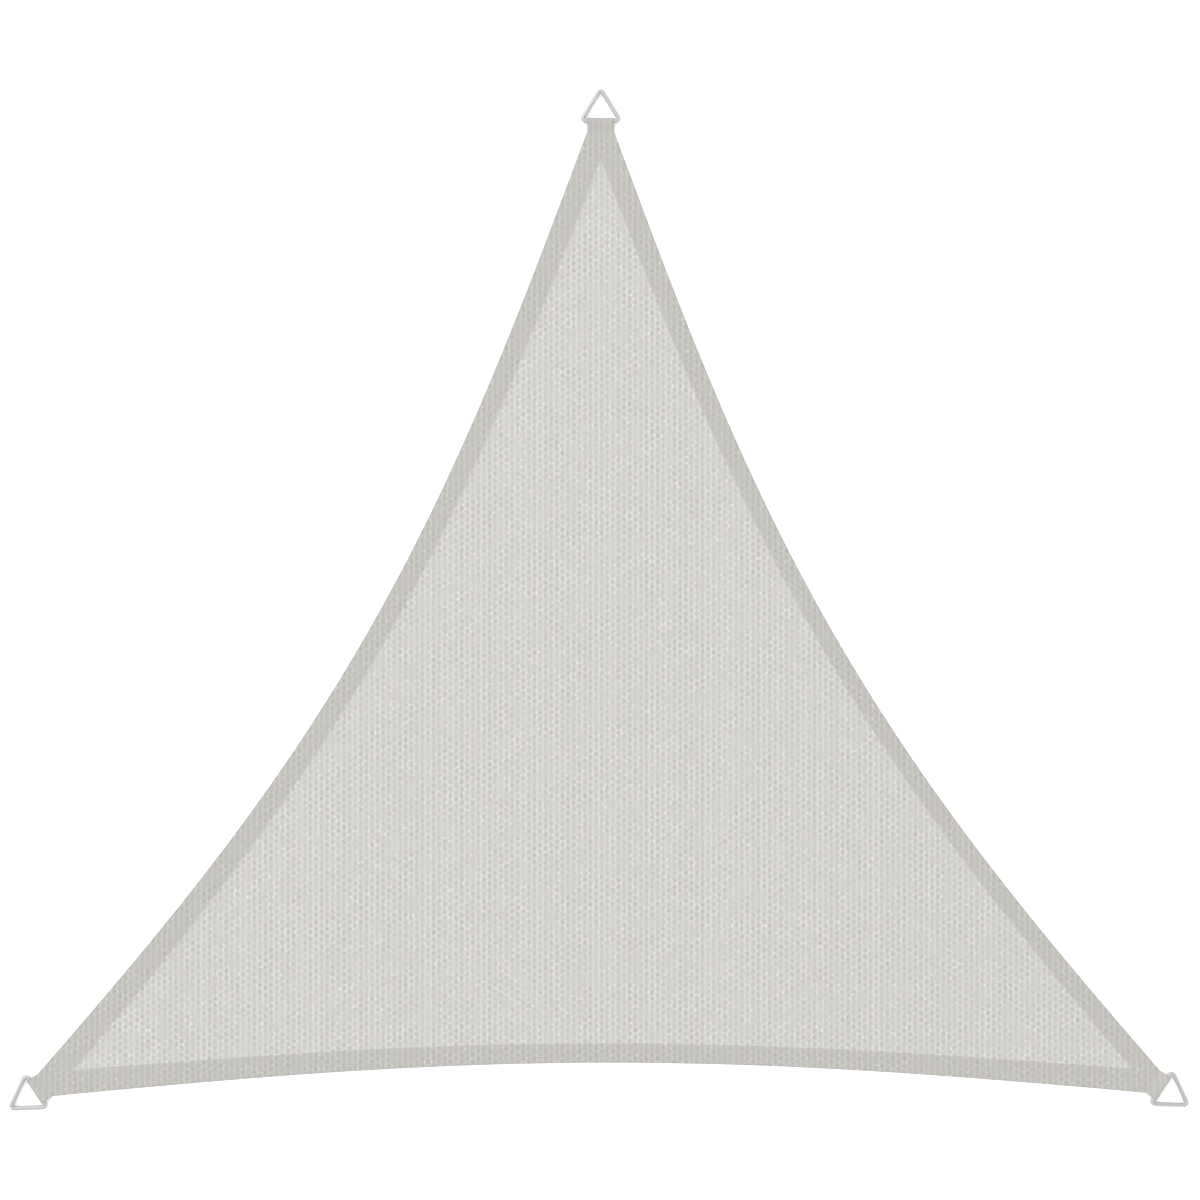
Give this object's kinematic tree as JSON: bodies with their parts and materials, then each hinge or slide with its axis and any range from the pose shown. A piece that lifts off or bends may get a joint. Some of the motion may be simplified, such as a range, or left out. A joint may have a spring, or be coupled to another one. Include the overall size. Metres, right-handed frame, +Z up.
{
  "type": "shade sail",
  "caption": "Triangular shade sail of ribbed knitted cloth with inward-curved hemmed edges and a triangular steel ring in a cloth loop at each corner, laid flat.",
  "frame": {"origin": "on the surface that the sail lies on, under the middle of its bounding box", "axes": "+X from the lower left corner towards the lower right one, +Y towards the top corner, +Z up out of the sail's face"},
  "size_m": [2.1032, 1.822, 0.0105],
  "materials": {
    "knitted_cloth": "matt warm light grey ribbed knit of polyethylene yarn and tape, a little darker where the hem doubles it",
    "ring_steel": "satin stainless steel wire"
  },
  "bodies": {
    "root": {"sail_cloth": "knitted_cloth", "ring_top": "ring_steel", "ring_left": "ring_steel", "ring_right": "ring_steel"}
  },
  "joints": []
}
